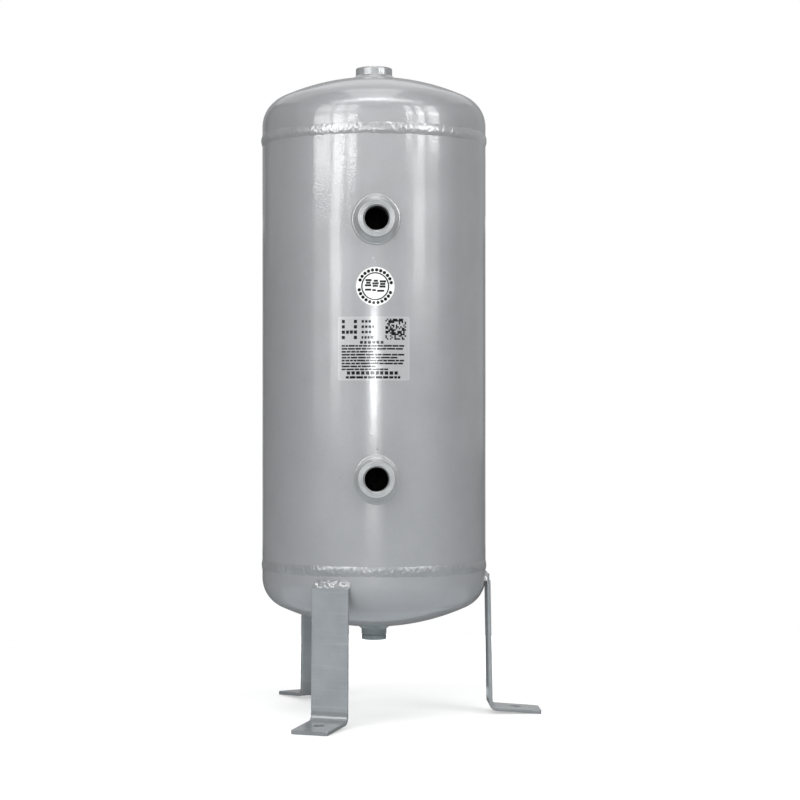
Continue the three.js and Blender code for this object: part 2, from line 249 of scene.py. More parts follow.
class Recipe:
    """A node material round one Principled shader, with short calls for its usual parts."""

    def __init__(self, name, **fixed):
        self.material = bpy.data.materials.new(name)
        self.material.use_nodes = True
        self.tree = self.material.node_tree
        self.shader = self.tree.nodes["Principled BSDF"]
        for socket, value in fixed.items():
            self.shader.inputs[socket.replace("_", " ")].default_value = value
        self.place = self.tree.nodes.new("ShaderNodeTexCoord").outputs["Object"]
        self.normal = None

    def noise(self, per_metre, detail=2.0, roughness=0.5, stretch=(1, 1, 1)):
        """Noise with `per_metre` features to a metre, times `stretch` along each axis."""
        mapping = self.tree.nodes.new("ShaderNodeMapping")
        mapping.inputs["Scale"].default_value = stretch
        node = self.tree.nodes.new("ShaderNodeTexNoise")
        node.inputs["Scale"].default_value = per_metre
        node.inputs["Detail"].default_value = detail
        node.inputs["Roughness"].default_value = roughness
        self.tree.links.new(self.place, mapping.inputs["Vector"])
        self.tree.links.new(mapping.outputs["Vector"], node.inputs["Vector"])
        return node.outputs["Fac"]

    def spread(self, factor, low, high, start=0.35, end=0.65):
        """Maps a factor's start..end to low..high, and holds it there beyond."""
        node = self.tree.nodes.new("ShaderNodeMapRange")
        for name, value in (("From Min", start), ("From Max", end), ("To Min", low), ("To Max", high)):
            node.inputs[name].default_value = value
        self.tree.links.new(factor, node.inputs["Value"])
        return node.outputs["Result"]

    def mix(self, factor, first, second):
        """A colour between two. Each is a colour or a node's output."""
        node = self.tree.nodes.new("ShaderNodeMix")
        node.data_type = "RGBA"
        self.tree.links.new(factor, node.inputs["Factor"])
        for name, value in (("A", first), ("B", second)):
            socket = next(s for s in node.inputs if s.name == name and s.type == "RGBA")
            if isinstance(value, bpy.types.NodeSocket):
                self.tree.links.new(value, socket)
            else:
                socket.default_value = (*value, 1)
        return next(s for s in node.outputs if s.type == "RGBA")

    def bump(self, height, depth):
        """Adds relief over what is there. `depth` is in millimetres for a height of 1."""
        node = self.tree.nodes.new("ShaderNodeBump")
        node.inputs["Distance"].default_value = depth * MM
        self.tree.links.new(height, node.inputs["Height"])
        if self.normal:
            self.tree.links.new(self.normal, node.inputs["Normal"])
        self.normal = node.outputs["Normal"]

    def finish(self, colour, roughness):
        """Joins the colour, roughness and relief to the shader."""
        self.tree.links.new(colour, self.shader.inputs["Base Color"])
        self.tree.links.new(roughness, self.shader.inputs["Roughness"])
        self.tree.links.new(self.normal, self.shader.inputs["Normal"])
        self.tree.links.new(self.normal, self.shader.inputs["Coat Normal"])
        return self.material


def silver_paint(name, light, dark, peel, roughness, metallic=0.25):
    """Sprayed silver paint: cloudy colour, fine flake, orange peel and a glossy top.

    `peel` sets the depth of its waves and of its orange peel, and `roughness` is a range.
    """
    recipe = Recipe(name, Metallic=metallic, Coat_Weight=1.0, Coat_Roughness=0.05, Coat_IOR=1.5)
    clouds = recipe.noise(16, detail=4)
    flake = recipe.noise(1500, detail=1)
    sparkle = tuple(c * 1.5 for c in light)
    colour = recipe.mix(recipe.spread(clouds, 0, 1), light, dark)
    colour = recipe.mix(recipe.spread(flake, 0, 0.25, 0.5, 0.75), colour, sparkle)
    waves = recipe.noise(60, detail=1)
    recipe.bump(waves, peel * 1.4)
    orange_peel = recipe.noise(380, detail=1, stretch=(1, 1, 1.3))
    recipe.bump(orange_peel, peel * 2.8)
    return recipe.finish(colour, recipe.spread(clouds, *roughness))


def leg_paint():
    """Thin silver paint over the flat bar's level rolling marks."""
    recipe = Recipe("leg_paint", Metallic=0.3, Coat_Weight=0.8, Coat_Roughness=0.12)
    streaks = recipe.noise(9, detail=6, roughness=0.65, stretch=(1, 1, 40))
    clouds = recipe.noise(40, detail=3)
    colour = recipe.mix(recipe.spread(clouds, 0, 1), (0.216, 0.231, 0.241), (0.192, 0.207, 0.217))
    colour = recipe.mix(recipe.spread(streaks, 0, 0.5, 0.55, 0.75), colour, (0.31, 0.325, 0.33))
    recipe.bump(streaks, 0.05)
    recipe.bump(recipe.noise(420, detail=3), 0.05)
    return recipe.finish(colour, recipe.spread(streaks, 0.34, 0.46))


def bare_steel(name, light, dark, roughness):
    """Unpainted steel with a dull, spotty scale."""
    recipe = Recipe(name, Metallic=0.7)
    scale = recipe.noise(260, detail=5, roughness=0.6)
    recipe.bump(scale, 0.08)
    colour = recipe.mix(recipe.spread(scale, 0, 1), light, dark)
    return recipe.finish(colour, recipe.spread(scale, roughness - 0.1, roughness + 0.1))


def label_stock(name, light, dark, metallic, roughness):
    """A sticker's face, finely grained and a little rippled."""
    recipe = Recipe(name, Metallic=metallic, Coat_Weight=1.0, Coat_Roughness=0.13)
    grain = recipe.noise(700, detail=2)
    recipe.bump(recipe.noise(70, detail=2), 0.04)
    colour = recipe.mix(recipe.spread(grain, 0, 1), light, dark)
    return recipe.finish(colour, recipe.spread(grain, roughness, roughness + 0.08))


def label_ink():
    """Printed black that thins a little here and there."""
    recipe = Recipe("label_ink", Coat_Weight=0.5, Coat_Roughness=0.1, Specular_IOR_Level=0.0)
    wear = recipe.noise(900, detail=3)
    recipe.bump(recipe.noise(70, detail=2), 0.04)
    black, worn = (0.006, 0.006, 0.007), (0.03, 0.03, 0.031)
    colour = recipe.mix(recipe.spread(wear, 0, 1, 0.55, 0.75), black, worn)
    return recipe.finish(colour, recipe.spread(wear, 0.5, 0.6))


def floor_paint():
    """Pale floor that glows a little, and fades to plain white away from the tank."""
    recipe = Recipe("studio_floor")
    patches = recipe.noise(3, detail=3)
    recipe.bump(recipe.noise(200, detail=2), 0.05)
    distance = recipe.tree.nodes.new("ShaderNodeVectorMath")
    distance.operation = "LENGTH"
    recipe.tree.links.new(recipe.place, distance.inputs[0])
    glow = recipe.spread(distance.outputs["Value"], 0.44, 0.95, 0.3, 0.9)
    recipe.tree.links.new(glow, recipe.shader.inputs["Emission Strength"])
    recipe.shader.inputs["Emission Color"].default_value = (1, 1, 1, 1)
    colour = recipe.mix(recipe.spread(patches, 0, 1), (0.50, 0.50, 0.50), (0.48, 0.48, 0.48))
    return recipe.finish(colour, recipe.spread(patches, 0.85, 0.95))


PAINT = silver_paint("tank_paint", (0.241, 0.246, 0.255), (0.225, 0.230, 0.238),
                     peel=0.035, roughness=(0.44, 0.52))
# The beads carry the plate's own paint; this copy is lighter in colour, painted light that brightens
# every bead.
LIT_WELD_PAINT = silver_paint("weld_paint", (0.32, 0.327, 0.332), (0.26, 0.267, 0.272),
                          peel=0.06, roughness=(0.28, 0.40), metallic=0.4)
# A darker copy of the same paint for the lower girth bead: painted shade.
SHADED_LOWER_WELD_PAINT = silver_paint("shaded_lower_weld_paint", (0.22, 0.226, 0.233), (0.18, 0.186, 0.192),
                                peel=0.05, roughness=(0.36, 0.46))
SOCKET_PAINT = silver_paint("socket_paint", (0.26, 0.268, 0.273), (0.22, 0.228, 0.233),
                            peel=0.05, roughness=(0.3, 0.4))
# A darker, bluer copy of the socket paint for the drain socket and its weld under the tank: painted
# shade.
SHADED_DRAIN_PAINT = silver_paint("shaded_drain_paint", (0.19, 0.213, 0.222), (0.14, 0.162, 0.168),
                           peel=0.04, roughness=(0.34, 0.46))
LEG_PAINT = leg_paint()
BACKING_STEEL = bare_steel("backing_steel", (0.30, 0.29, 0.28), (0.20, 0.18, 0.17), 0.5)
# Inside steel: bare steel made near black, as painted shade for the closed tank's dark inside and the
# dark socket bores.
SHADED_INSIDE_STEEL = bare_steel("shaded_inside_steel", (0.030, 0.028, 0.027), (0.016, 0.014, 0.013), 0.75)
STICKER = label_stock("sticker", (0.60, 0.60, 0.595), (0.56, 0.56, 0.555), 0.0, 0.35)
FILM = label_stock("label_film", (0.30, 0.305, 0.313), (0.28, 0.285, 0.293), 0.2, 0.4)
FILM_EDGE = label_stock("label_film_edge", (0.315, 0.32, 0.328), (0.30, 0.305, 0.313), 0.15, 0.4)
INK = label_ink()


# --- Shell and heads ---

JOINT_DENT = 0.12  # how far a girth weld draws the plate in, and how far along
JOINT_DENT_REACH = 16.0
PORT_DENT = 0.55  # the same round a side port
PORT_DENT_REACH = 48.0
TANK_SIDES = 288


def unevenness(point):
    """How far the plate stands off its true radius at a point, in millimetres."""
    z = point[2]
    rolled = 0.10 * wobble(point, 110, 3) + 0.03 * wobble(point, 35, 8)
    to_joint = min(abs(z - UPPER_JOINT), abs(z - LOWER_JOINT))
    shrunk = JOINT_DENT * hump(to_joint, JOINT_DENT_REACH)
    for port_z in PORT_Z.values():
        if point[1] < 0:
            shrunk += PORT_DENT * hump(math.hypot(point[0], z - port_z), PORT_DENT_REACH)
    return rolled - shrunk


def plate_shift(point):
    x, y, _ = point
    swell = unevenness(point) / math.hypot(x, y)
    return np.array((x * swell, y * swell, 0.0))


def skin(u, z, lift=0.0):
    """A point on the shell's outer surface, `u` millimetres round from the front towards +X."""
    angle = u / RADIUS
    out = np.array((math.sin(angle), -math.cos(angle), 0.0))
    foot = out * RADIUS + (0, 0, z)
    return foot + out * (unevenness(foot) + lift)


def hole_radius(node):
    low, high = local_box(node)
    return (high[0] - low[0]) / 2 + SOCKET_PLAY


def build_shell():
    outside = line((RADIUS, LOWER_JOINT + EDGE_OUTSIDE), (RADIUS, UPPER_JOINT - EDGE_OUTSIDE), 160)
    outside.append((RADIUS, UPPER_JOINT - EDGE_OUTSIDE))
    inside = line((BORE, UPPER_JOINT - EDGE_INSIDE), (BORE, LOWER_JOINT + EDGE_INSIDE), 40)
    inside.append((BORE, LOWER_JOINT + EDGE_INSIDE))
    profile = outside + inside
    points, faces = lathe(profile, TANK_SIDES, plate_shift)
    # The plate's inner faces take the near-black inside steel: painted shade.
    dark = band(faces, len(profile), len(outside), len(profile))
    piece = make_piece("shell_plate", points, faces, PAINT, "tank_paint", ["shell"],
                       inner=SHADED_INSIDE_STEEL, dark=dark)
    for name, z in PORT_Z.items():
        drill = rod(hole_radius(name + "_socket"), (0, -BORE * 0.8, z), (0, -RADIUS * 1.2, z))
        cut(piece, *drill)


def head_profile(hole):
    """Outer and inner [r, z] outlines of a head with its joint at z = 0 and its crown up."""
    end = math.atan2(FLANGE - CROWN_CENTRE, KNUCKLE_CENTRE)
    centre, crown = (KNUCKLE_CENTRE, FLANGE), (0, CROWN_CENTRE)
    outside = line((RADIUS, EDGE_OUTSIDE), (RADIUS, FLANGE), 6)
    outside += arc(centre, KNUCKLE, 0, end, 20)
    outside += arc(crown, CROWN, end, math.acos(hole / CROWN), 24)[1:]
    inside = [(BORE, EDGE_INSIDE)] + arc(centre, KNUCKLE - WALL, 0, end, 10)
    inside += arc(crown, CROWN - WALL, end, math.acos(hole / (CROWN - WALL)), 10)[1:]
    return outside, inside[::-1]


def build_head(node, socket, joint, up):
    outside, inside = head_profile(hole_radius(socket))
    profile = [(r, joint + z * up) for r, z in outside + inside]
    points, faces = lathe(profile, TANK_SIDES, plate_shift)
    # The head's inner faces take the near-black inside steel: painted shade.
    dark = band(faces, len(profile), len(outside), len(profile))
    make_piece(node + "_pressing", points, faces, PAINT, "tank_paint", [node],
               inner=SHADED_INSIDE_STEEL, dark=dark)


# --- Weld beads ---

RIPPLE = 4.6  # from one ripple of a bead to the next
TOE_SINK = 0.45  # how deep a bead's edge lies under the plate's surface
BEAD_ROOT = 1.5  # how deep a straight bead reaches under that surface
WELD_SHARP = 50  # degrees between faces that stay a sharp edge
LUMP_SPREAD = 8  # half the width over which a bead's lumps are drawn
GIRTH_HALF_WIDTH = 9.0
GIRTH_SAG = 0.7  # how far a girth bead lies below its joint
SEAM_HALF_WIDTH = 4.6
SEAM_CAP = 1.0


def make_weld(node, points, faces, paint):
    make_piece(node + "_bead", points, faces, paint, "weld_paint", [node], WELD_SHARP)


def ripple(run, across, seed):
    """Height of a bead's ripples, 0 to 1. `run` is millimetres along it, `across` is -1 to 1."""
    jitter = 0.5 * wobble((run, 0, 0), 13, seed) + 0.25 * wobble((run, 0, 0), 5, seed + 5)
    phase = run / RIPPLE + jitter + 0.55 * across * across
    return abs(math.sin(math.pi * phase)) ** 0.7


def bead_height(run, across, crown, rough, seed):
    """Height of a bead's cap over its own edge: a smooth swell with faint ripples and lumps."""
    swell = max(0.0, 1 - across * across) ** 1.25
    here = (run, across * LUMP_SPREAD, 0)
    lumps = wobble(here, 4.0, seed + 11) + 0.6 * wobble(here, 2.2, seed + 13)
    relief = 0.12 * (ripple(run, across, seed) - 0.4) + 0.7 * lumps
    return (crown + TOE_SINK) * swell + rough * relief * swell ** 0.6


def build_girth_weld(node, joint, cap, ripples, paint, seed):
    """Bead round the tank: a wandering, rippled cap over the metal that fills the groove."""
    sides, steps = 1500, 16
    toe = RADIUS - JOINT_DENT - TOE_SINK
    root = ((toe, ROOT_OUTSIDE), (BORE, ROOT_INSIDE), (BORE, -ROOT_INSIDE), (toe, -ROOT_OUTSIDE))
    count = steps + 1 + len(root)
    points = np.empty((sides, count, 3))
    for i in range(sides):
        angle = TAU * i / sides
        out = np.array((math.cos(angle), math.sin(angle), 0))
        here = out * RADIUS + (0, 0, joint)
        run = angle * RADIUS
        half = GIRTH_HALF_WIDTH + 0.5 * wobble(here, 30, seed) + 0.3 * wobble(here, 8, seed + 2)
        crown = cap + 0.3 * wobble(here, 34, seed + 4) + 0.2 * wobble(here, 9, seed + 6)
        drift = joint - GIRTH_SAG + 0.5 * wobble(here, 70, seed + 8)
        for j in range(steps + 1):
            across = 2 * j / steps - 1
            radius = toe + bead_height(run, across, crown, ripples, seed)
            points[i, j] = out * radius + (0, 0, drift + half * across)
        for j, (radius, z) in enumerate(root):
            points[i, steps + 1 + j] = out * radius + (0, 0, joint + z)
    make_weld(node, points, grid_faces(sides, count), paint)


def build_seam_weld():
    """Lengthwise bead, with a lump where it runs into the top girth weld."""
    low, high = local_box("seam_weld")
    azimuth = math.degrees(math.atan2(middle("seam_weld")[0], -middle("seam_weld")[1]))
    rows, steps = 640, 12
    points = np.empty((rows, steps + 2, 3))
    for i in range(rows):
        z = low[2] + (high[2] - low[2]) * i / (rows - 1)
        here = (RADIUS, 0, z)
        lump = hump(high[2] - z - 12, 8)
        half = SEAM_HALF_WIDTH + 0.4 * wobble(here, 22, 21) + 0.2 * wobble(here, 6, 22) + 1.2 * lump
        crown = SEAM_CAP + 0.25 * wobble(here, 18, 23) + 0.9 * lump
        to_joint = min(z - LOWER_JOINT, UPPER_JOINT - z)
        surface = RADIUS - JOINT_DENT * hump(to_joint, JOINT_DENT_REACH)
        for j in range(steps + 1):
            across = 2 * j / steps - 1
            radius = surface - TOE_SINK + bead_height(z, across, crown, 0.4, 24)
            points[i, j] = (half * across, -radius, z)
        points[i, steps + 1] = (0, BEAD_ROOT - surface, z)
    faces = grid_faces(rows, steps + 2, close_rows=False) + end_faces(rows, steps + 2)
    make_weld("seam_weld", turned(points, azimuth), faces, LIT_WELD_PAINT)


def fillet(inner, width, height, surface, seed, taller=0.0, sides=360, steps=14):
    """A ring of weld round a socket on the Z axis.

    `width` and `height` are its legs, and `taller` is added to the width above and below the
    socket. `surface(x, y)` is the height of what it sits on.
    """
    points = np.empty((sides, steps + 3, 3))
    for i in range(sides):
        angle = TAU * i / sides
        c, s = math.cos(angle), math.sin(angle)
        here = (inner * c, inner * s, 0)
        run = angle * (inner + width / 2)
        reach = width + taller * s * s
        reach *= 1 + 0.05 * wobble(here, 16, seed) + 0.02 * wobble(here, 5, seed + 1)
        top = height * (1 + 0.07 * wobble(here, 14, seed + 2))
        for j in range(steps + 1):
            t = j / steps
            r = inner - 0.1 + reach * t
            hollow = top * (1 - t) ** 1.35
            lip = 0.15 * height * hump(t - 0.84, 0.11)
            pass_line = 0.10 * height * hump(t - 0.45, 0.10)
            rough = 0.16 * (ripple(run, 2 * t - 1, seed) - 0.4) * math.sin(math.pi * t)
            rise = hollow + lip + pass_line + rough - TOE_SINK * t ** 4
            points[i, j] = (r * c, r * s, surface(r * c, r * s) + rise)
        for j, r in ((steps + 1, inner + reach - 1.5), (steps + 2, inner - 0.1)):
            points[i, j] = (r * c, r * s, surface(r * c, r * s) - 1.2)
    return points, grid_faces(sides, steps + 3)


def crown_drop(x, y):
    """Height of a head's crown, from its own top."""
    return math.sqrt(CROWN ** 2 - x * x - y * y) - CROWN


def shell_drop(x, y):
    """Height of the shell's surface round a side port, from the plane that touches it there."""
    drawn_in = PORT_DENT * hump(math.hypot(x, y), PORT_DENT_REACH)
    return math.sqrt(RADIUS ** 2 - x * x) - RADIUS - drawn_in


def to_front(points, z):
    """Carries points drawn about the Z axis to the front of the shell, at height z."""
    p = np.asarray(points)
    return np.stack([p[..., 0], -RADIUS - p[..., 2], p[..., 1] + z], -1)


def to_axis(points, z, up):
    """Carries points drawn about the Z axis to the top (up = 1) or the bottom (up = -1)."""
    p = np.asarray(points)
    return np.stack([p[..., 0], p[..., 1], z + p[..., 2] * up], -1)


# --- Sockets ---

GROOVE = (7.6, 7.2, 6.4, 6.0)  # a turned groove's edges, from the socket's face
MOUTH_EDGE = 0.6  # the small round where a socket's face meets its bore
THREAD_START = 2.2  # from the face to the first turn


def socket(size, stand, groove=0.0):
    """A turned socket whose wall is met at z = 0, with a screw thread in its bore.

    `groove` is the depth of a ring turned round it. Returns points, faces and the thread's faces.
    """
    radius, edge, core = size["radius"], size["edge"], size["core"]
    sides, rows_per_turn, steps_per_ring = 144, 8, 8
    low, floor, ceiling, high = (stand - depth for depth in GROOVE)
    body = line((radius, -size["reach"]), (radius, low), 6)
    body += [(radius, low), (radius - groove, floor), (radius - groove, ceiling)]
    body += line((radius, high), (radius, stand - edge), 4)
    rim = arc((radius - edge, stand - edge), edge, 0, math.pi / 2, 6)
    mouth_radius = size["mouth"] + MOUTH_EDGE
    face = line(rim[-1], (mouth_radius, stand), 2 * steps_per_ring)
    swing = (face[0][0] - face[-1][0]) / 28
    rings = [(r, z - swing * (1 - math.cos(TAU * k / steps_per_ring))) for k, (r, z) in enumerate(face)]
    mouth = arc((mouth_radius, stand - MOUTH_EDGE), MOUTH_EDGE, math.pi / 2, math.pi, 4)
    outer = body + rim + rings[1:] + mouth
    top = stand - THREAD_START
    count = int((top + size["reach"]) / size["pitch"] * rows_per_turn)
    thread = [(core, top - i * size["pitch"] / rows_per_turn) for i in range(count)]
    profile = outer + thread + [(core, -size["reach"])]
    points, faces = lathe(profile, sides)
    for i in range(sides):
        for j in range(len(outer), len(outer) + count):
            z = points[i, j, 2]
            turn = z / size["pitch"] - i / sides
            tooth = abs(2 * (turn % 1) - 1) * size["tooth"]
            points[i, j, :2] *= (core + tooth) / core
    return points, faces, band(faces, len(profile), len(outer) + 2, len(profile))


def build_port(name, socket_parts, weld_parts, place, paint, weld_paint):
    """A socket and its ring of weld. `place` carries their points to where they stand."""
    points, faces, thread = socket_parts
    # The thread's faces take the near-black inside steel: painted shade in the bore.
    make_piece(name + "_socket_turned", place(points), faces, paint, "socket_paint",
               [name + "_socket"], inner=SHADED_INSIDE_STEEL, dark=thread)
    points, faces = weld_parts
    make_weld(name + "_weld", place(points), faces, weld_paint)


def build_axial_port(name, size, up, legs, seed, paint, groove):
    low, high = local_box(name + "_socket")
    crown = TOP if up > 0 else BOTTOM
    stand = high[2] - crown if up > 0 else crown - low[2]
    weld = fillet(size["radius"], *legs, crown_drop, seed)
    build_port(name, socket(size, stand, groove), weld, lambda points: to_axis(points, crown, up),
               paint, paint)


def build_side_port(name, legs, taller, seed):
    z = PORT_Z[name]
    stand = -local_box(name + "_socket")[0][1] - RADIUS
    weld = fillet(G1["radius"], *legs, shell_drop, seed, taller)
    build_port(name, socket(G1, stand), weld, lambda points: to_front(points, z),
               SOCKET_PAINT, LIT_WELD_PAINT)


# --- Legs ---

def leg_frame():
    """The bend's centre in the leg's side view, x outwards and z up, and the upright's length."""
    outer = BEND_RADIUS + BAR_THICKNESS
    z = outer * math.cos(FOOT_DROOP) + FOOT_STRAIGHT * math.sin(FOOT_DROOP)
    rise = (LEG_TOP - z + outer * math.sin(LEG_SPLAY)) / math.cos(LEG_SPLAY)
    x = RADIUS + LEG_PLAY + outer * math.cos(LEG_SPLAY) + rise * math.sin(LEG_SPLAY)
    return x, z, rise


def leg_stations():
    """Places down a leg's bar: centre x and z, outward normal x and z, and half the width."""
    x, z, rise = leg_frame()
    middle_radius = BEND_RADIUS + BAR_THICKNESS / 2
    half = BAR_WIDTH / 2
    stations = []

    def add(angle, straight, width):
        nx, nz = math.cos(angle), math.sin(angle)
        centre = (x + middle_radius * nx - straight * nz, z + middle_radius * nz + straight * nx)
        stations.append((*centre, nx, nz, width))

    start, end = math.pi + LEG_SPLAY, 1.5 * math.pi - FOOT_DROOP
    for distance in np.linspace(-rise, 0, 78):
        add(start, distance, half)
    for angle in np.linspace(start, end, 18)[1:]:
        add(angle, 0, half)
    for distance in np.linspace(0, FOOT_STRAIGHT - FOOT_CORNER, 28)[1:]:
        add(end, distance, half)
    for turn in np.linspace(0, math.pi / 2, 7)[1:]:
        add(end, FOOT_STRAIGHT - FOOT_CORNER * (1 - math.sin(turn)),
            half - FOOT_CORNER * (1 - math.cos(turn)))
    return stations


def bar_section(half):
    """Outline of the flat bar across its width and thickness, with rolled edges."""
    w, t, e = half - BAR_EDGE, BAR_THICKNESS / 2 - BAR_EDGE, BAR_EDGE
    outline = []
    for x, y, start in ((w, t, 0), (-w, t, 1), (-w, -t, 2), (w, -t, 3)):
        corner = arc((x, y), e, start * math.pi / 2, (start + 1) * math.pi / 2, 3)
        outline += corner
        following = ((-w, t + e), (-w - e, -t), (w, -t - e), (w + e, t))[start]
        outline += line(corner[-1], following, 20 if start % 2 == 0 else 3)[1:]
    return outline


def build_leg(name, azimuth, seed):
    stations = leg_stations()
    count = len(bar_section(BAR_WIDTH / 2))
    points = np.empty((len(stations), count, 3))
    for i, (x, z, nx, nz, half) in enumerate(stations):
        for j, (w, t) in enumerate(bar_section(half)):
            on_edge = abs(w) > half - BAR_EDGE * 1.1
            rough = 0.25 * wobble((w, i * 2, t), 2.6, seed) if on_edge else 0.0
            marks = 0.05 * wobble((w / 30, i * 2, 0), 3.5, seed + 3) * (abs(t) > 2)
            points[i, j] = (x + (t + marks) * nx, w + math.copysign(rough, w), z + (t + marks) * nz)
    points[:, :, 2] = np.maximum(points[:, :, 2], 0.0)
    faces = grid_faces(len(stations), count, close_rows=False) + end_faces(len(stations), count)
    piece = make_piece(name + "_bar", turned(points, azimuth - 90), faces, LEG_PAINT, "leg_paint",
                       [name], 40)
    cut(piece, *foot_drill(azimuth), 40)


def foot_drill(azimuth):
    """The drill for a foot's bolt hole, square to the foot."""
    x, z, _ = leg_frame()
    down = 1.5 * math.pi - FOOT_DROOP
    normal = np.array((math.cos(down), 0, math.sin(down)))
    along = np.array((-math.sin(down), 0, math.cos(down)))
    sole = np.array((x, 0, z)) + normal * (BEND_RADIUS + BAR_THICKNESS)
    centre = sole + along * (FOOT_STRAIGHT - FOOT_HOLE_FROM_TOE)
    ends = turned([centre - normal * 20, centre + normal * 20], azimuth - 90)
    return rod(FOOT_HOLE, *ends)


def build_leg_weld(name, azimuth, seed):
    """Ragged bead across a leg's top, from the bar's outer face up to the shell."""
    rows, steps = 150, 16
    half = BAR_WIDTH / 2 + 0.6
    points = np.empty((rows, steps + 4, 3))
    for i in range(rows):
        y = half * (2 * i / (rows - 1) - 1)
        end = max(0.0, 1 - (abs(y) / half) ** 10) ** 0.5
        back = math.sqrt(RADIUS ** 2 - y * y)
        here = (y, 0, 0)
        height = 10.0 + 1.6 * wobble(here, 15, seed) + 1.3 * wobble(here, 5, seed + 1)
        height += 2.4 * hump(y - 15, 9)
        toe = 5.4 + 0.4 * wobble(here, 9, seed + 2)
        for j in range(steps + 1):
            t = j / steps
            x = back - 0.4 + toe * (1 - t) ** 0.8 * (0.6 + 0.4 * end)
            lumps = 1.9 * wobble((y, j * 0.9, 0), 5.0, seed + 3) + 0.4 * ripple(y, 2 * t - 1, seed)
            swell = math.sin(math.pi * t) * (1.7 + lumps) * end
            z = LEG_TOP - 0.3 + height * (0.35 + 0.65 * end) * t ** 1.1
            points[i, j] = (x + swell * 0.7, y, z + swell * 0.7)
        back_edge = back - BEAD_ROOT
        points[i, steps + 1] = (back_edge, y, points[i, steps, 2] - 0.3)
        points[i, steps + 2] = (back_edge, y, LEG_TOP - 0.2)
        points[i, steps + 3] = (back + 2.0, y, LEG_TOP - 0.4)
    faces = grid_faces(rows, steps + 4, close_rows=False) + end_faces(rows, steps + 4)
    make_weld(name + "_weld", turned(points, azimuth - 90), faces, LIT_WELD_PAINT)


# --- Labels ---

SHEET = 0.10  # how far a label stands off the paint
LABEL_SINK = -0.3  # where its underside lies, in the paint
PRINT = 0.06  # how far its print stands off the label
PRINT_SINK = 0.05
LABEL_INSET = 0.2  # from the CAD label's outline to the drawn one


def label_patch(outline, bottom, top):
    """A thin closed slab round the shell. `outline` lists rows as (v, lowest u, highest u)."""
    columns = max(2, int((max(r[2] for r in outline) - min(r[1] for r in outline)) / 3))
    points = []
    for v, left, right in outline:
        run = np.linspace(left, right, columns + 1)
        points.append([skin(u, v, top) for u in run] + [skin(u, v, bottom) for u in run[::-1]])
    count = 2 * (columns + 1)
    faces = grid_faces(len(outline), count, close_rows=False) + end_faces(len(outline), count)
    return np.array(points).reshape(-1, 3), faces


def joined(patches):
    """One list of points and faces from several."""
    points, faces, start = [], [], 0
    for some_points, some_faces in patches:
        points.append(some_points)
        faces += [tuple(start + k for k in face) for face in some_faces]
        start += len(some_points)
    return np.concatenate(points), faces


def rounded_rows(centre, width, height, corner, steps=6, between=16):
    """Rows of a rectangle with rounded corners, for label_patch."""
    u, v = centre
    low = v - height / 2
    corners = [(low + corner * (1 - math.cos(turn)), width / 2 - corner * (1 - math.sin(turn)))
               for turn in np.linspace(0, math.pi / 2, steps + 1)]
    straight = height - 2 * corner
    sides = [(low + corner + straight * k / between, width / 2) for k in range(1, between)]
    rows = corners + sides + [(2 * v - level, half) for level, half in corners[::-1]]
    return [(level, u - half, u + half) for level, half in rows]


def disc_rows(centre, radius, steps):
    u, v = centre
    end = math.pi / 2 - 0.06
    turns = np.linspace(-end, end, steps)
    rows = [(radius * math.sin(turn), radius * math.cos(turn)) for turn in turns]
    return [(v + rise, u - half, u + half) for rise, half in rows]


def printed(rows):
    """A printed mark on a label."""
    return label_patch(rows, SHEET - PRINT_SINK, SHEET + PRINT)


def ring_patch(centre, inner, outer, bottom, top, sides=96):
    """A thin closed ring on the shell."""
    points = []
    for angle in np.linspace(0, TAU, sides, endpoint=False):
        c, s = math.cos(angle), math.sin(angle)
        for radius, lift in ((outer, top), (inner, top), (inner, bottom), (outer, bottom)):
            points.append(skin(centre[0] + radius * c, centre[1] + radius * s, lift))
    return np.array(points), grid_faces(sides, 4)


def mark(u, v, width, height, tilt=None):
    """A printed bar on a label. `tilt` turns its centre about a point: (u, v, degrees)."""
    if tilt:
        angle = math.radians(tilt[2])
        du, dv = u - tilt[0], v - tilt[1]
        u = tilt[0] + du * math.cos(angle) - dv * math.sin(angle)
        v = tilt[1] + du * math.sin(angle) + dv * math.cos(angle)
    ends = (v - height / 2, v + height / 2)
    return printed([(end, u - width / 2, u + width / 2) for end in ends])


def words(rng, u, v, length, height, shortest, longest, space):
    """A line of printed bars of uneven length, as a stand-in for text."""
    marks, end = [], u + length
    while u < end - shortest:
        width = min(rng.uniform(shortest, longest), end - u)
        marks.append(mark(u + width / 2, v, width, height))
        u += width + space
    return marks


def build_inspection_label():
    """A white disc with a ring of dots, a thin circle and a few bars in the middle."""
    low, high = local_box("inspection_label")
    centre = (RADIUS * math.asin((low[0] + high[0]) / 2 / RADIUS), (low[2] + high[2]) / 2)
    radius = (high[2] - low[2]) / 2 - LABEL_INSET
    points, faces = label_patch(disc_rows(centre, radius, 40), LABEL_SINK, SHEET)
    make_piece("inspection_label_disc", points, faces, STICKER, "sticker", ["inspection_label"])

    tilt, dot_ring, dot_radius, dot_step, dots = -5, 21.0, 2.2, 14.5, 11
    marks = [ring_patch(centre, 16.3, 17.9, SHEET - PRINT_SINK, SHEET + PRINT)]
    for side in (90, 270):
        for k in range(dots):
            angle = math.radians(side + tilt + (k - dots // 2) * dot_step)
            dot = (centre[0] + dot_ring * math.cos(angle), centre[1] + dot_ring * math.sin(angle))
            marks.append(printed(disc_rows(dot, dot_radius, 8)))
    turn = (*centre, tilt)
    for column, offset in enumerate((-9.2, 0.0, 9.2)):
        for row in range(3):
            width = (7.8, 5.6, 8.2, 6.8)[(row + column) % 4]
            v = centre[1] + 7.0 - row * 3.3
            marks.append(mark(centre[0] + offset, v, width, 2.7, turn))
    for offset, width in ((-8.8, 8.0), (-1.0, 5.0), (7.4, 9.0)):
        marks.append(mark(centre[0] + offset, centre[1] - 5.2, width, 2.6, turn))
    make_piece("inspection_label_print", *joined(marks), INK, "sticker")


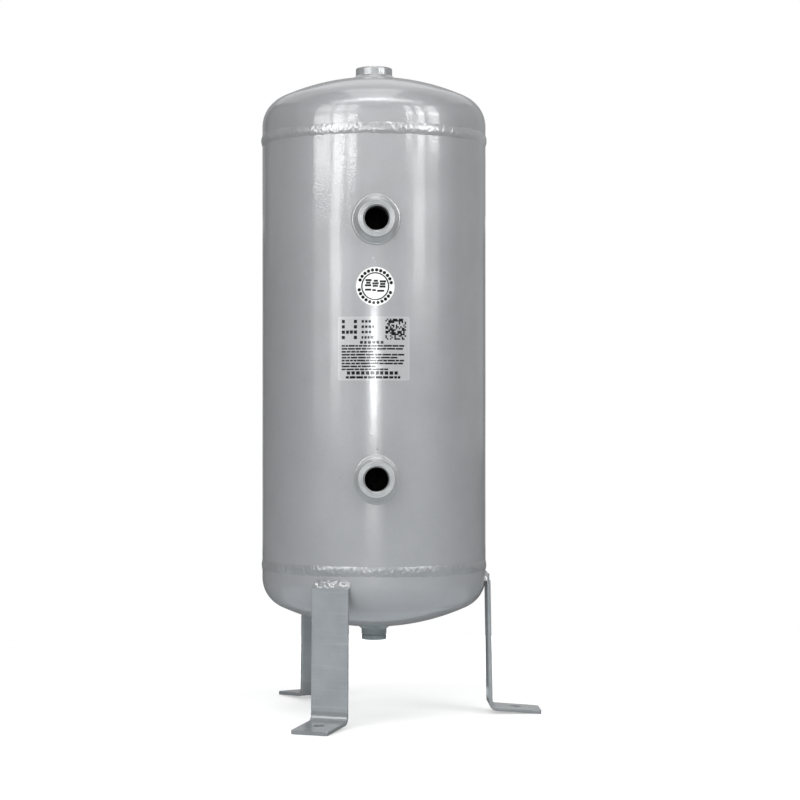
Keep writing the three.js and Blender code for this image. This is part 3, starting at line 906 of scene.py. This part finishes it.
def data_lines():
    """The data label's lines of bars: how far in and down each starts and how long it is, then its
    bars' height, shortest and longest width, and the space between them."""
    paragraph = (81, 81, 44, 81, 72, 81, 81, 46, 60)
    lines = [(31, 6.2 + row * 6.8, 12 + 4 * (row % 2), 3.2, 2.2, 4.2, 1.3) for row in range(4)]
    lines.append((29, 33, 34, 3.4, 3.2, 3.9, 1.6))
    lines += [(5, 37.4 + row * 3.75, length, 2.1, 3, 12, 0.9) for row, length in enumerate(paragraph)]
    lines.append((12, 72, 69, 4.3, 4.0, 4.9, 1.6))
    lines.append((10.5, 77.6, 71, 3.0, 3.0, 9.0, 1.1))
    return lines


def build_data_label():
    """A silver film with a pale edge, rows of bars and a square patch of random cells."""
    low, high = local_box("data_label")
    centre = (RADIUS * math.asin((low[0] + high[0]) / 2 / RADIUS), (low[2] + high[2]) / 2)
    height = high[2] - low[2] - 2 * LABEL_INSET
    width = 2 * RADIUS * math.asin((high[0] - low[0]) / 2 / RADIUS) - 2 * LABEL_INSET
    edge = label_patch(rounded_rows(centre, width, height, 2.5), LABEL_SINK, SHEET - 0.03)
    make_piece("data_label_edge", *edge, FILM_EDGE, "label_film", ["data_label"])
    face = label_patch(rounded_rows(centre, width - 4, height - 4, 1.5), LABEL_SINK, SHEET)
    make_piece("data_label_face", *face, FILM, "label_film")

    rng = random.Random(11)
    left, top = centre[0] - width / 2, centre[1] + height / 2
    marks = []
    for row in range(4):
        for inset in (7.3, 12.7, 17.9, 23.1) if row == 2 else (7.3, 23.1):
            marks.append(mark(left + inset, top - 6.2 - row * 6.8, 4.0, 4.2))
    for inset, drop, length, *bars in data_lines():
        marks += words(rng, left + inset, top - drop, length, *bars)
    cells, cell = 14, 1.93
    for row in range(cells):
        v = top - 3.5 - cell * row
        for column in range(cells):
            if rng.random() < 0.6:
                marks.append(mark(left + 62.4 + cell * column, v, cell, cell))
    make_piece("data_label_print", *joined(marks), INK, "label_film")


# --- Spatter ---

# Places from the lower port's middle, and size.
SPATTER = ((1.5, 39.0, 1.5), (-2.0, 44.0, 0.8), (31.0, -13.5, 1.3), (33.5, -8.0, 0.9),
           (-47.0, 3.5, 1.6))


def spatter_drop(number, u, v, size, rings=6, sides=14):
    """A flat, uneven drop on the shell, `u` and `v` from the lower port's middle."""
    points = []
    for i in range(rings):
        tilt = math.pi / 2 * (i + 0.2) / rings
        lift = 0.5 * size * math.sin(tilt) - 0.25
        for angle in np.linspace(0, TAU, sides, endpoint=False):
            reach = size * math.cos(tilt) * (1 + 0.2 * wobble((angle * 2, number * 9, i), 2))
            z = PORT_Z["lower_port"] + v + reach * math.sin(angle)
            points.append(skin(u + reach * math.cos(angle), z, lift))
    return np.array(points), grid_faces(rings, sides, close_rows=False) + end_faces(rings, sides)


def build_spatter():
    """Weld spatter by the lower port, painted over."""
    drops = [spatter_drop(number, *spot) for number, spot in enumerate(SPATTER)]
    make_piece("weld_spatter", *joined(drops), PAINT, "weld_paint")


# --- Stage, lights and camera ---

# Windows: name, azimuths from and to, and radiance.
LEFT_WINDOWS = (("left_outer", (-61, -43.4), 9), ("left_middle", (-40.6, -28.8), 13),
                ("left_inner", (-26.2, -17), 12))
RIGHT_WINDOWS = (("right_inner", (31.5, 38.5), 12), ("right_middle", (43.5, 51), 14),
                 ("right_outer", (55.5, 67.5), 12))
# Their panes, from the bottom up: name, heights and share of the radiance.
LEFT_PANES = (("window_", (0.94, 1.08), 1), ("middle_window_", (1.08, 1.5), 0.22),
              ("upper_window_", (1.5, 2.6), 0.36))
RIGHT_PANES = (("window_", (1.07, 1.35), 1), ("upper_window_", (1.35, 2.3), 0.5))
WINDOW_DISTANCE = 2.4

# Walls and other upright lights: name, azimuths, distance, heights and radiance.
UPRIGHT_LIGHTS = (
    ("wall_left", (-62, -22), 2.6, (0.34, 2.0), 1.1),
    ("wall_left_core", (-43, -33), 2.5, (0.44, 0.94), 3.6),
    ("wall_left_glare", (-44, -31), 2.45, (0.64, 0.94), 1.8),
    ("wall_right", (31, 67), 2.6, (0.60, 1.07), 1.5),
    ("wall_right_core", (39, 51), 2.5, (0.70, 1.07), 3.6),
    ("wall_left_back", (-135, -75), 2.6, (0.80, 2.2), 0.18),
    ("wall_right_back", (98, 150), 2.6, (0.30, 2.2), 0.3),
    ("wall_back", (160, 200), 2.6, (0.05, 0.9), 0.35),
    ("wall_back_high", (150, 210), 2.9, (0.9, 3.2), 0.2),
    ("wall_front", (-19, 30), 3.3, (0.95, 2.0), 1.2),
    ("wall_front_low", (-19, 30), 3.3, (0.60, 0.95), 0.3),
    ("camera_side", (-3.0, 3.0), 3.2, (0.36, 0.68), 17),
    ("camera_side_wide", (-7, 7), 3.25, (0.47, 0.64), 7),
    ("camera_side_low", (-6, 6), 3.15, (0.23, 0.36), 4.5),
    ("camera_side_soft", (-9, 9), 3.4, (0.02, 0.85), 1.2),
)

# Ceiling lights, one over another: half the spread in azimuth, radiance.
CEILING = ((55, 2.7), (45, 2.0), (32, 1.6), (15, 1.1))
CEILING_AZIMUTH = 4
CEILING_AIM = 0.8


def from_tank(azimuth, distance, z):
    """A place in metres, at an azimuth as the camera sees it and a distance from the tank's axis."""
    angle = math.radians(azimuth + CAMERA_AZIMUTH)
    x = AXIS[0] * MM + distance * math.sin(angle)
    y = AXIS[1] * MM - distance * math.cos(angle)
    return Vector((x, y, z))


def add_area_light(name, place, width, height, radiance):
    """A soft rectangular light that the camera doesn't see."""
    lamp = bpy.data.lights.new(name, "AREA")
    lamp.shape = "RECTANGLE"
    lamp.size = width
    lamp.size_y = height
    lamp.energy = radiance * math.pi * lamp.size * lamp.size_y
    light = bpy.data.objects.new(name, lamp)
    light.location = place
    light.visible_camera = False
    bpy.context.scene.collection.objects.link(light)
    return light


def aim(light, z):
    """Turns a light towards the tank's axis at height z."""
    toward = from_tank(0, 0, z) - light.location
    light.rotation_euler = toward.to_track_quat("-Z", "Y").to_euler()


def add_light(name, azimuths, distance, heights, radiance):
    """An upright light that fills a range of azimuths and heights, facing the tank."""
    place = from_tank(sum(azimuths) / 2, distance, sum(heights) / 2)
    width = 2 * distance * math.tan(math.radians(azimuths[1] - azimuths[0]) / 2)
    light = add_area_light(name, place, width, heights[1] - heights[0], radiance)
    aim(light, light.location.z)
    return light


def add_panel(name, width, near, far, z, radiance):
    """A level light facing down, from `near` to `far` metres behind the tank's axis."""
    return add_area_light(name, from_tank(180, (near + far) / 2, z), width, far - near, radiance)


def add_windows():
    """Tall windows on both sides, brightest in their lowest panes."""
    for windows, panes in ((LEFT_WINDOWS, LEFT_PANES), (RIGHT_WINDOWS, RIGHT_PANES)):
        for name, azimuths, radiance in windows:
            for pane, heights, share in panes:
                add_light(pane + name, azimuths, WINDOW_DISTANCE, heights, radiance * share)


def add_ceiling():
    """Soft light from above and behind, and a bright patch of ceiling over the front."""
    for step, (half, strength) in enumerate(CEILING):
        azimuths = (CEILING_AZIMUTH - half, CEILING_AZIMUTH + half)
        light = add_light(f"ceiling_{half}", azimuths, 1.5 + 0.03 * step, (2.75, 3.35), strength)
        aim(light, CEILING_AIM)
    add_panel("overhead_front", 1.4, -2.0, 0.9, 3.4, 1.8)
    add_panel("overhead_back", 6.0, 0.9, 5.0, 3.4, 0.62)


def add_lights():
    """All the area lights."""
    add_windows()
    for row in UPRIGHT_LIGHTS:
        add_light(*row)
    back_fill = add_light("back_fill", (145, 215), 2.8, (0.9, 2.4), 3.0)
    back_fill.visible_glossy = False
    add_ceiling()
    bounce = add_panel("floor_bounce", 1.8, -0.9, 0.1, 0.02, 0.4)
    bounce.rotation_euler.x = math.pi
    bounce.data.color = (0.84, 0.95, 1.0)


def backdrop_white():
    """Plain white that glows, and takes no light."""
    white = bpy.data.materials.new("studio_backdrop")
    white.use_nodes = True
    shader = white.node_tree.nodes["Principled BSDF"]
    shader.inputs["Base Color"].default_value = (0, 0, 0, 1)
    shader.inputs["Specular IOR Level"].default_value = 0
    shader.inputs["Emission Color"].default_value = (1, 1, 1, 1)
    shader.inputs["Emission Strength"].default_value = 1.0
    return white


def add_stage_object(name, points, faces, material):
    mesh = bpy.data.meshes.new(name)
    mesh.from_pydata(points, [], faces)
    mesh.materials.append(material)
    thing = bpy.data.objects.new(name, mesh)
    thing.visible_glossy = False
    bpy.context.scene.collection.objects.link(thing)
    return thing


def add_stage():
    """A pale floor, and a white backdrop that only the camera sees."""
    sides, rows, radius = 64, 24, 30.0
    circle = [(math.cos(a), math.sin(a)) for a in np.linspace(0, TAU, sides, endpoint=False)]
    rim = [(x, y, 0) for x, y in circle]
    add_stage_object("studio_floor", rim, [tuple(range(sides))], floor_paint())

    points = []
    for i in range(rows):
        tilt = math.pi * ((i + 0.5) / rows - 0.5)
        reach = radius * math.cos(tilt)
        points += [(reach * x, reach * y, radius * math.sin(tilt)) for x, y in circle]
    faces = grid_faces(rows, sides, close_rows=False) + end_faces(rows, sides)
    backdrop = add_stage_object("studio_backdrop", points, faces, backdrop_white())
    backdrop.visible_diffuse = False
    backdrop.visible_transmission = False
    backdrop.visible_shadow = False


def add_world():
    """Pale light from the front, falling off to grey behind the tank."""
    world = bpy.data.worlds.new("studio")
    world.use_nodes = True
    tree = world.node_tree
    direction = tree.nodes.new("ShaderNodeTexCoord").outputs["Generated"]
    parts = tree.nodes.new("ShaderNodeSeparateXYZ")
    fall = tree.nodes.new("ShaderNodeMapRange")
    fall.interpolation_type = "SMOOTHSTEP"
    for name, value in (("From Min", -0.95), ("From Max", 0.45), ("To Min", 0.22), ("To Max", 0.16)):
        fall.inputs[name].default_value = value
    tree.links.new(direction, parts.inputs["Vector"])
    tree.links.new(parts.outputs["Y"], fall.inputs["Value"])
    tree.links.new(fall.outputs["Result"], tree.nodes["Background"].inputs["Strength"])
    tree.nodes["Background"].inputs["Color"].default_value = (0.96, 0.98, 1.0, 1)
    bpy.context.scene.world = world


def add_camera():
    lens = bpy.data.cameras.new("camera")
    lens.sensor_width = 36
    lens.lens = CAMERA_LENS
    lens.shift_x, lens.shift_y = CAMERA_SHIFT
    camera = bpy.data.objects.new("camera", lens)
    camera.location = from_tank(0, CAMERA_DISTANCE, CAMERA_HEIGHT)
    camera.rotation_euler = (math.pi / 2, 0, math.radians(CAMERA_AZIMUTH))
    bpy.context.scene.collection.objects.link(camera)
    bpy.context.scene.camera = camera


# --- Assembly ---

build_shell()
build_head("top_head", "top_port_socket", UPPER_JOINT, up=1)
build_head("bottom_head", "drain_port_socket", LOWER_JOINT, up=-1)
build_girth_weld("top_girth_weld", UPPER_JOINT, cap=1.4, ripples=0.42, paint=LIT_WELD_PAINT, seed=31)
build_girth_weld("bottom_girth_weld", LOWER_JOINT, cap=0.9, ripples=0.4, paint=SHADED_LOWER_WELD_PAINT,
                 seed=47)
build_seam_weld()
build_axial_port("top_port", G1, up=1, legs=(7.5, 5.0), seed=61, paint=SOCKET_PAINT, groove=0.0)
build_axial_port("drain_port", G34, up=-1, legs=(5.6, 4.5), seed=67, paint=SHADED_DRAIN_PAINT, groove=1.3)
build_side_port("upper_port", legs=(7.4, 8.0), taller=1.6, seed=71)
build_side_port("lower_port", legs=(4.2, 6.5), taller=4.4, seed=79)
for number, (leg, leg_azimuth) in enumerate(LEGS.items()):
    build_leg(leg, leg_azimuth, 83 + number)
    build_leg_weld(leg, leg_azimuth, 91 + number)
build_inspection_label()
build_data_label()
build_spatter()
for ring in ("top_backing_ring", "bottom_backing_ring"):
    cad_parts[ring].material_slots[0].material = BACKING_STEEL

add_stage()
add_world()
add_lights()
add_camera()
bpy.context.scene.view_settings.view_transform = "Standard"
